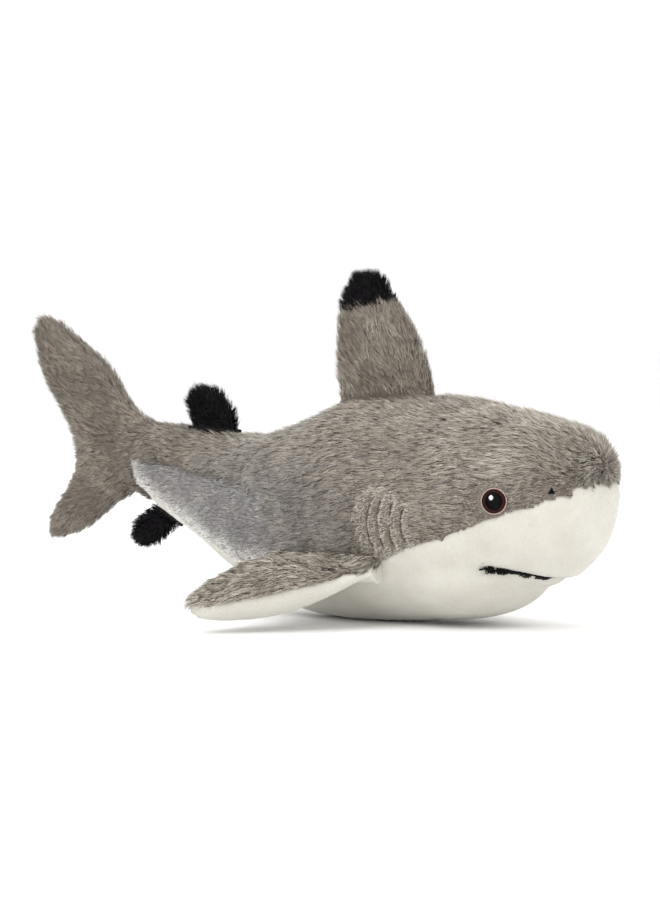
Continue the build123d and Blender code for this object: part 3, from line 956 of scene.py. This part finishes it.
def stitches(name, lines, radius, outward, slot, node, sides=6):
    """Strands of thread, one along each line of points, with closed tapered ends."""
    lines = np.asarray(lines, float)
    count, steps = lines.shape[:2]
    along = unit(np.gradient(lines, axis=1))
    side = unit(np.cross(along, outward))
    top = np.cross(side, along)
    taper = np.clip(np.sin(np.linspace(0.3, math.pi - 0.3, steps)) * 1.5, 0, 1)[None, :, None, None]
    angle = (np.arange(sides) / sides * 2 * math.pi)[None, None, :, None]
    rings = (lines[:, :, None] + radius * taper
             * (np.cos(angle) * side[:, :, None] + np.sin(angle) * top[:, :, None]))
    around, faces = np.arange(sides), []
    for strand in range(count):
        for step in range(steps - 1):
            first = (strand * steps + step) * sides
            for a in around:
                b = (a + 1) % sides
                faces.append((first + a, first + b, first + sides + b, first + sides + a))
        base = strand * steps * sides
        faces.append(tuple(int(i) for i in base + around[::-1]))
        faces.append(tuple(int(i) for i in base + (steps - 1) * sides + around))
    obj = new_object(name, new_mesh(name, rings.reshape(-1, 3), faces))
    smooth_shaded(obj.data)
    finish_cloth(obj, slot)
    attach(obj, "torso")
    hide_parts(node)


def patch_frame(node):
    """Centre, across, up and outward of a flat embroidered patch."""
    spots = node_points(node)
    centre = (spots.min(0) + spots.max(0)) / 2
    outward = np.linalg.svd(spots - spots.mean(0))[2][2]
    outward *= np.sign(outward[1] * centre[1])
    across = unit(np.cross([0, 0, 1.0], outward))
    return centre, across, np.cross(outward, across), outward


def satin(node, chords, frame_of, lift, puff, radius, slot):
    """Satin stitch: strands side by side across a shape, padded in the middle."""
    centre, across, up, outward = frame_of
    lines = []
    for (u1, v1), (u2, v2) in chords:
        line = []
        for s in np.linspace(0, 1, 6):
            spot = centre + across * (u1 * (1 - s) + u2 * s) + up * (v1 * (1 - s) + v2 * s)
            line.append(on_skin(spot, outward, lift + puff * math.sin(math.pi * s)))
        lines.append(line)
    stitches(f"{node}_satin", lines, radius, outward, slot, node)


def turned(point, angle):
    x, y = point
    return x * math.cos(angle) - y * math.sin(angle), x * math.sin(angle) + y * math.cos(angle)


def ring_chords(outer, inner, pitch):
    turns = np.linspace(0, 2 * math.pi, int(2 * math.pi * outer / pitch), endpoint=False)
    return [(turned((outer, 0), turn), turned((inner, 0), turn + 0.05)) for turn in turns]


def disc_chords(centre, radius, pitch, slant=0.35):
    chords = []
    for offset in np.arange(-radius + pitch / 2, radius, pitch):
        half = math.sqrt(max(radius ** 2 - offset ** 2, 0))
        chords.append([np.add(turned((x, offset), slant), centre) for x in (-half, half)])
    return chords


def triangle_chords(width, count):
    """Level strands up a triangle that stands on its base."""
    chords = []
    for height in np.linspace(0, 0.92, count):
        half, rise = width / 2 * (1 - height), width * 0.8 * (height - 0.45)
        chords.append(((-half, rise), (half, rise)))
    return chords


def reach_of(node, frame_of):
    """Least and greatest distance of a patch's points from the middle, in its plane, and its middle."""
    centre, across, up, _ = frame_of
    offset = node_points(node) - centre
    u, v = offset @ across, offset @ up
    return np.hypot(u, v).min(), np.hypot(u, v).max(), ((u.min() + u.max()) / 2, (v.min() + v.max()) / 2)


def chain(count):
    return np.stack([np.arange(count - 1), np.arange(1, count)], 1)


NOSTRIL_WIDTH = 0.0038
GILL_MARKS = 15                         # points along each gill's thread
for side in SIDES:
    outline, iris, pupil, glint = (f"eye_{part}_{side}" for part in ("outline", "iris", "pupil", "highlight"))
    at_eye = patch_frame(outline)
    inner, outer, _ = reach_of(outline, at_eye)
    pupil_radius, iris_radius, _ = reach_of(iris, at_eye)
    _, _, glint_centre = reach_of(glint, at_eye)
    glint_low, glint_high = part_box(glint)
    satin(pupil, disc_chords((0, 0), pupil_radius, 0.00034), at_eye, 0.0004, 0.0009, 0.00027, "black_thread")
    satin(iris, ring_chords(iris_radius + 0.0004, pupil_radius - 0.0005, 0.00036), at_eye, 0.0007, 0.0004,
          0.00026, "brown_thread")
    satin(outline, ring_chords(outer, inner + 0.0004, 0.00036), at_eye, 0.0009, 0.0002, 0.00022, "mauve_thread")
    satin(glint, disc_chords(glint_centre, (glint_high.z - glint_low.z) * 0.38, 0.0003, 0.0), at_eye, 0.0014,
          0.0004, 0.00024, "white_thread")

    spots = node_points(f"nostril_{side}")
    nostril = (spots.min(0) + spots.max(0)) / 2
    lie = np.array(trunk_skin.find_nearest(Vector(nostril))[1])
    lie_across = unit(np.cross([0, 0, 1.0], lie))
    at_nostril = nostril, lie_across, np.cross(lie, lie_across), lie
    satin(f"nostril_{side}", triangle_chords(NOSTRIL_WIDTH, 12), at_nostril, 0.0012, 0.0004, 0.00026,
          "black_thread")

    # Gills: a chain of short stitches down each tuck
    spots = node_points(f"gill_stitching_{side}")
    order = np.argsort(spots[:, 0])
    breaks = np.sort(np.argsort(np.diff(spots[order, 0]))[-3:]) + 1
    way = np.array([0.0, -1.0 if side == "right" else 1.0, 0.0])
    lines = []
    for tuck_points in np.split(spots[order], breaks):
        marks = np.linspace(tuck_points[:, 2].min(), tuck_points[:, 2].max(), GILL_MARKS)
        curve = [tuck_points[np.argsort(abs(tuck_points[:, 2] - mark))[:10]].mean(0) for mark in marks]
        curve = relax(np.array(curve), chain(GILL_MARKS), 4)
        curve = np.array([on_skin(spot, way, 0.0006) for spot in curve])
        for a, b in zip(curve[:-1], curve[1:]):
            lines.append([a + (b - a) * s + way * 0.0004 * math.sin(math.pi * s)
                          for s in (-0.15, 0.15, 0.5, 0.85, 1.15)])
    stitches(f"gill_stitching_{side}_thread", lines, 0.00034, way, "dark_grey_thread", f"gill_stitching_{side}")

# The mouth: a ragged band of crossing black stitches in its crease, heavier on the cheeks
MOUTH_MARKS = 47
MOUTH_REACH = 0.0035                    # the stitches run this far past the CAD band at each corner
MOUTH_PITCH = 0.00042
spots = node_points("mouth_stitching")
bins = np.linspace(spots[:, 1].min(), spots[:, 1].max(), MOUTH_MARKS)
mouth_line = np.array([spots[np.argsort(abs(spots[:, 1] - mark))[:14]].mean(0) for mark in bins])
mouth_line = relax(mouth_line, chain(MOUTH_MARKS), 2)
corners = [mouth_line[at] + unit(mouth_line[at] - mouth_line[beside]) * MOUTH_REACH
           for at, beside in ((0, 3), (-1, -4))]
mouth_line = np.concatenate([corners[:1], mouth_line, corners[1:]])
length_along = np.r_[0, np.cumsum(np.linalg.norm(np.diff(mouth_line, axis=0), axis=1))]
rng = np.random.default_rng(61)
lines = []


def along_mouth(at):
    return np.array([np.interp(at, length_along, mouth_line[:, i]) for i in range(3)])


for number, at in enumerate(np.arange(0.0006, length_along[-1] - 0.0006, MOUTH_PITCH)):
    spot = along_mouth(at)
    tangent = unit(along_mouth(at + 0.001) - along_mouth(at - 0.001))
    _, out, _, _ = trunk_skin.find_nearest(Vector(spot))
    out = unit(np.array([out[0], out[1], 0.0]) + 1e-9)
    front_share = 1 - smoothstep(abs(spot[1]), 0.008, 0.016)
    if number % 3 == 0:
        lines.append([near_skin(along_mouth(at + step), out, 0.0010 - 0.0007 * front_share)
                      for step in (-0.0009, -0.0004, 0, 0.0005, 0.001)])
    rise = unit(np.cross(tangent, out))
    rise *= np.sign(rise[2])
    share = at / length_along[-1]
    heavy = 0.3 + 0.7 * min(1, share / 0.16, (1 - share) / 0.16)
    ragged = 0.5 + 0.5 * ripple(np.array([[at, 0, 0]]), 0.006, 62)[0]
    half = (0.0003 + 0.0013 * np.clip(ragged, 0, 1)) * heavy * (1 - 0.75 * front_share)
    slant = tangent * half * rng.choice([-0.8, 0.8])
    ends = [spot + rise * half * rng.uniform(0.7, 1.1) + slant,
            spot - rise * half * rng.uniform(0.8, 1.5) - slant]
    lines.append([near_skin(ends[0] * (1 - s) + ends[1] * s, out, 0.0011 + 0.0003 * math.sin(math.pi * s))
                  for s in (0, 0.25, 0.5, 0.75, 1)])
stitches("mouth_stitching_satin", lines, 0.00042, unit(np.array([1.0, 0, 0.1])), "black_thread", "mouth_stitching")

# ---------------- camera, light and floor
EYE_POINT, AIM, LENS = Vector((0.8363, -1.2563, 0.1535)), Vector((0.0187, -0.0002, 0.0909)), 109.2


def look(obj, target):
    obj.rotation_euler = (Vector(target) - obj.location).to_track_quat("-Z", "Y").to_euler()


camera = bpy.data.objects.new("camera", bpy.data.cameras.new("camera"))
scene.collection.objects.link(camera)
camera.location = EYE_POINT
camera.data.lens = LENS
look(camera, AIM)
scene.camera = camera

floor_mesh = bpy.data.meshes.new("floor")
bm = bmesh.new()
bmesh.ops.create_circle(bm, cap_ends=True, segments=96, radius=30)
bm.to_mesh(floor_mesh)
bm.free()
floor = new_object("floor", floor_mesh)
pale, _, shader = principled("pale_floor")
settle(shader, Base_Color=(0.95, 0.95, 0.95, 1), Roughness=0.9)
floor_mesh.materials.append(pale)

world = bpy.data.worlds.new("studio")
world.use_nodes = True
settle(world.node_tree.nodes["Background"], Color=(1, 1, 1, 1), Strength=1.05)
scene.world = world
scene.view_settings.view_transform = "Standard"

# key from the upper left of the camera, fill from the right, light from above and behind
LIGHTS = [("key", (0.1, -1.5, 1.5), 1.2, 16), ("fill", (1.6, -0.3, 0.7), 1.2, 5),
          ("top", (-0.1, 0.1, 1.7), 1.3, 12), ("back", (-1.0, 1.3, 1.1), 1.2, 8)]
for name, place, size, power in LIGHTS:
    lamp = bpy.data.lights.new(name, "AREA")
    lamp.shape, lamp.size, lamp.energy = "DISK", size, power
    obj = bpy.data.objects.new(name, lamp)
    scene.collection.objects.link(obj)
    obj.location = place
    look(obj, (0, 0, 0.08))

bpy.context.view_layer.update()
